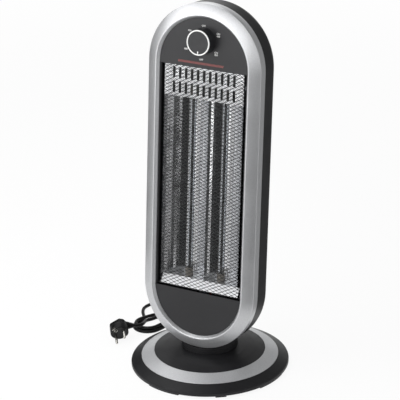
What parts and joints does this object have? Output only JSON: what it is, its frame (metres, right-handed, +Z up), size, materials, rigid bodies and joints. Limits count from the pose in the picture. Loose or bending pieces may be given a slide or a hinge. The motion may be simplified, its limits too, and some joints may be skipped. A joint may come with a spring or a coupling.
{
  "type": "oscillating carbon tube heater",
  "caption": "Tall oval radiant heater leaning back on a round weighted base, with a bright rim, mesh guard over carbon tubes, rotary knob at the top, swinging head and hanked mains lead.",
  "frame": {"origin": "on the floor, on the axis about which the head swings, in the middle of the round base", "axes": "+X to the right seen from the front, -Y the front that gives the heat, +Z up"},
  "size_m": [0.3586, 0.3721, 0.6603],
  "materials": {
    "black_plastic": "satin",
    "silver_paint": "metallic satin",
    "silver_ring_paint": "metallic satin",
    "grey_panel": "satin",
    "grille_steel": "satin",
    "mirror_sheet": "polished",
    "black_sheet": "matt",
    "zinc_steel": "zinc plated",
    "cast_weight": "rough",
    "quartz": "clear",
    "carbon": "woven carbon",
    "ceramic": "glazed ceramic",
    "cream_plastic": "plain",
    "foot_rubber": "matt",
    "red_plastic": "plain",
    "spring_steel": "bare",
    "cord_rubber": "matt",
    "pin_metal": "nickel plated",
    "white_marking": "white",
    "knob_grey": "satin",
    "wire_red": "silicone sleeve"
  },
  "bodies": {
    "base": {"base_plate": "black_sheet", "base_cover": "black_plastic", "base_trim_ring": "silver_ring_paint", "base_weight": "cast_weight", "long_feet": "foot_rubber", "short_feet": "foot_rubber", "base_screws": "zinc_steel", "bearing_washer": "cream_plastic", "swing_motor": "zinc_steel", "motor_screws": "zinc_steel", "tip_switch": "black_plastic", "tip_spring": "spring_steel", "cord_gland": "cord_rubber", "cord_clamp": "black_plastic", "mains_cord": "cord_rubber", "cord_hank": "cord_rubber", "plug_lead": "cord_rubber", "cord_tie": "black_plastic", "plug_body": "cord_rubber", "plug_pins": "pin_metal", "plug_earth_clips": "pin_metal"},
    "crank": {"crank_disc": "cream_plastic"},
    "head": {"neck": "black_plastic", "swing_arm": "zinc_steel", "arm_screws": "zinc_steel", "neck_bracket": "zinc_steel", "bracket_screws": "zinc_steel", "rear_casing": "black_plastic", "front_bezel": "silver_paint", "front_frame": "grey_panel", "guard_grille": "grille_steel", "heater_tray": "black_sheet", "main_mirror": "mirror_sheet", "upper_mirror_plate": "mirror_sheet", "lower_mirror_plate": "mirror_sheet", "quartz_tubes": "quartz", "carbon_elements": "carbon", "lower_caps": "ceramic", "upper_caps": "ceramic", "terminal_block": "ceramic", "thermal_cutout": "ceramic", "inner_wires": "wire_red", "rotary_switch": "cream_plastic", "switch_nut": "zinc_steel", "casing_screws": "zinc_steel", "tray_screws": "zinc_steel"},
    "knob": {"switch_shaft": "zinc_steel", "control_knob": "knob_grey", "knob_ring": "white_marking", "knob_marker": "white_marking"},
    "plunger": {"tip_plunger": "red_plastic"}
  },
  "joints": [
    {"name": "head_swing", "type": "hinge", "parent": "base", "child": "head", "pos_m": [0, 0, 0.04], "axis": [0, 0, 1], "range_deg": [-32, 32]},
    {"name": "crank_turn", "type": "hinge", "parent": "base", "child": "crank", "pos_m": [0, -0.045, 0.023], "axis": [0, 0, 1], "range_deg": [-90, 90]},
    {"name": "knob_turn", "type": "hinge", "parent": "head", "child": "knob", "pos_m": [0, 0.00084, 0.59892], "axis": [0, -0.9949, 0.1011], "continuous": true},
    {"name": "tip_slide", "type": "slide", "parent": "base", "child": "plunger", "axis": [0, 0, 1], "range_m": [-0.004, 0], "stiffness_N_per_m": 200, "springref_m": -0.008, "deforming": ["tip_spring"]}
  ],
  "couplings": [
    {"joint": "crank_turn", "follows": "head_swing", "ratio": 2.8125}
  ]
}
